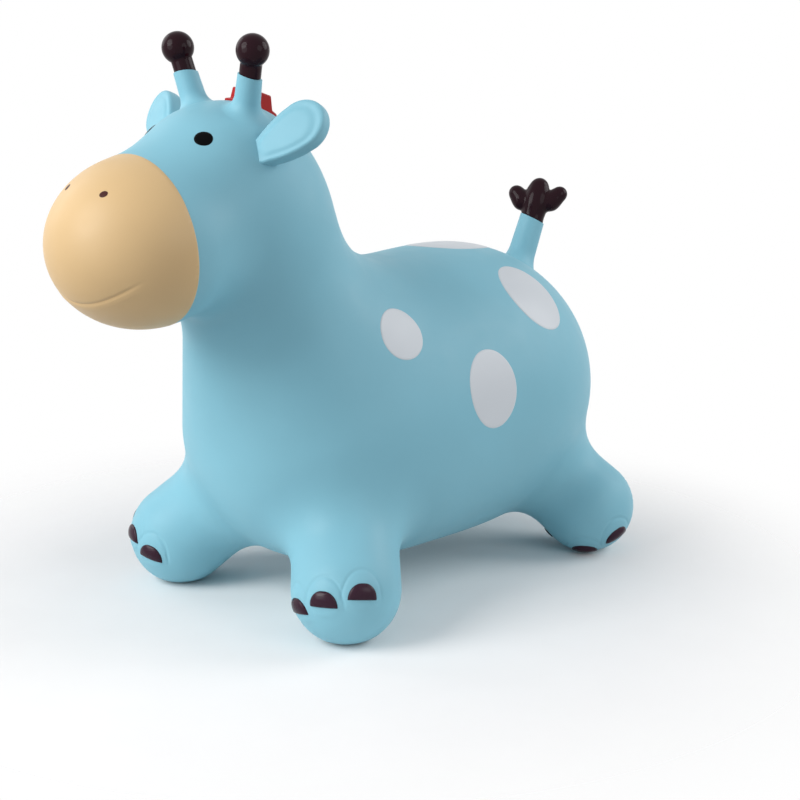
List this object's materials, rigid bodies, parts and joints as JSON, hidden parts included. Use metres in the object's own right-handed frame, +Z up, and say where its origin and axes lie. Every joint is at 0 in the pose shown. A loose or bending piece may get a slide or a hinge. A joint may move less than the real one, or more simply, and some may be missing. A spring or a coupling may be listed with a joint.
{
  "type": "bouncy ride-on giraffe",
  "caption": "Air-filled vinyl ride-on animal with splayed legs, horn grips, soft ears, a tufted tail and a plugged air valve, for a small child to sit on and bounce.",
  "frame": {"origin": "on the floor, under the middle of the bounding box, midway between the left and right legs", "axes": "+Z up, the animal faces -Y and its left side is +X"},
  "size_m": [0.3054, 0.5798, 0.4923],
  "materials": {
    "light_blue_vinyl": "satin",
    "beige_coat": "satin",
    "white_coat": "satin",
    "dark_brown_gloss": "gloss",
    "nostril_coat": "gloss",
    "black_gloss": "gloss",
    "red_vinyl": "satin",
    "plug_white": "satin"
  },
  "bodies": {
    "legs": {"leg_front_left": "light_blue_vinyl", "leg_front_right": "light_blue_vinyl", "leg_rear_left": "light_blue_vinyl", "leg_rear_right": "light_blue_vinyl", "nail_front_left_1": "dark_brown_gloss", "nail_front_left_2": "dark_brown_gloss", "nail_front_left_3": "dark_brown_gloss", "nail_front_right_1": "dark_brown_gloss", "nail_front_right_2": "dark_brown_gloss", "nail_front_right_3": "dark_brown_gloss", "nail_rear_left_1": "dark_brown_gloss", "nail_rear_left_2": "dark_brown_gloss", "nail_rear_left_3": "dark_brown_gloss", "nail_rear_right_1": "dark_brown_gloss", "nail_rear_right_2": "dark_brown_gloss", "nail_rear_right_3": "dark_brown_gloss"},
    "trunk": {"body_skin": "light_blue_vinyl", "eye_left": "black_gloss", "eye_right": "black_gloss", "mane": "red_vinyl", "muzzle_coat": "beige_coat", "nostril_left": "nostril_coat", "nostril_right": "nostril_coat", "spot_front_left": "white_coat", "spot_front_right": "white_coat", "spot_haunch_left": "white_coat", "spot_haunch_right": "white_coat", "spot_rear_left": "white_coat", "spot_rear_right": "white_coat", "valve_seat": "light_blue_vinyl"},
    "horn_left": {"horn_left": "light_blue_vinyl", "horn_tip_left": "dark_brown_gloss"},
    "ear_left": {"ear_left": "light_blue_vinyl"},
    "horn_right": {"horn_right": "light_blue_vinyl", "horn_tip_right": "dark_brown_gloss"},
    "ear_right": {"ear_right": "light_blue_vinyl"},
    "tail": {"tail_stalk": "light_blue_vinyl", "tail_tuft": "dark_brown_gloss"},
    "plug": {"air_plug": "plug_white"}
  },
  "joints": [
    {"name": "bounce", "type": "slide", "parent": "legs", "child": "trunk", "axis": [0, 0, -1], "range_m": [0, 0.018], "stiffness_N_per_m": 12000, "deforming": ["leg_front_left", "leg_front_right", "leg_rear_left", "leg_rear_right"]},
    {"name": "horn_left_bend", "type": "hinge", "parent": "trunk", "child": "horn_left", "pos_m": [0.0306, -0.129, 0.4312], "axis": [1, 0, 0], "range_deg": [-20, 20], "stiffness_Nm_per_rad": 0.5, "deforming": ["horn_left"]},
    {"name": "ear_left_bend", "type": "hinge", "parent": "trunk", "child": "ear_left", "pos_m": [0.0609, -0.139, 0.402], "axis": [0, 1, 0], "range_deg": [-25, 25], "stiffness_Nm_per_rad": 0.4, "deforming": ["ear_left"]},
    {"name": "horn_right_bend", "type": "hinge", "parent": "trunk", "child": "horn_right", "pos_m": [-0.0306, -0.129, 0.4312], "axis": [1, 0, 0], "range_deg": [-20, 20], "stiffness_Nm_per_rad": 0.5, "deforming": ["horn_right"]},
    {"name": "ear_right_bend", "type": "hinge", "parent": "trunk", "child": "ear_right", "pos_m": [-0.0609, -0.139, 0.402], "axis": [0, -1, 0], "range_deg": [-25, 25], "stiffness_Nm_per_rad": 0.4, "deforming": ["ear_right"]},
    {"name": "tail_bend", "type": "hinge", "parent": "trunk", "child": "tail", "pos_m": [0, 0.245, 0.2556], "axis": [1, 0, 0], "range_deg": [-25, 25], "stiffness_Nm_per_rad": 0.5, "deforming": ["tail_stalk"]},
    {"name": "plug_pull", "type": "slide", "parent": "trunk", "child": "plug", "axis": [0, 0.9349, -0.355], "range_m": [0, 0.018]}
  ]
}
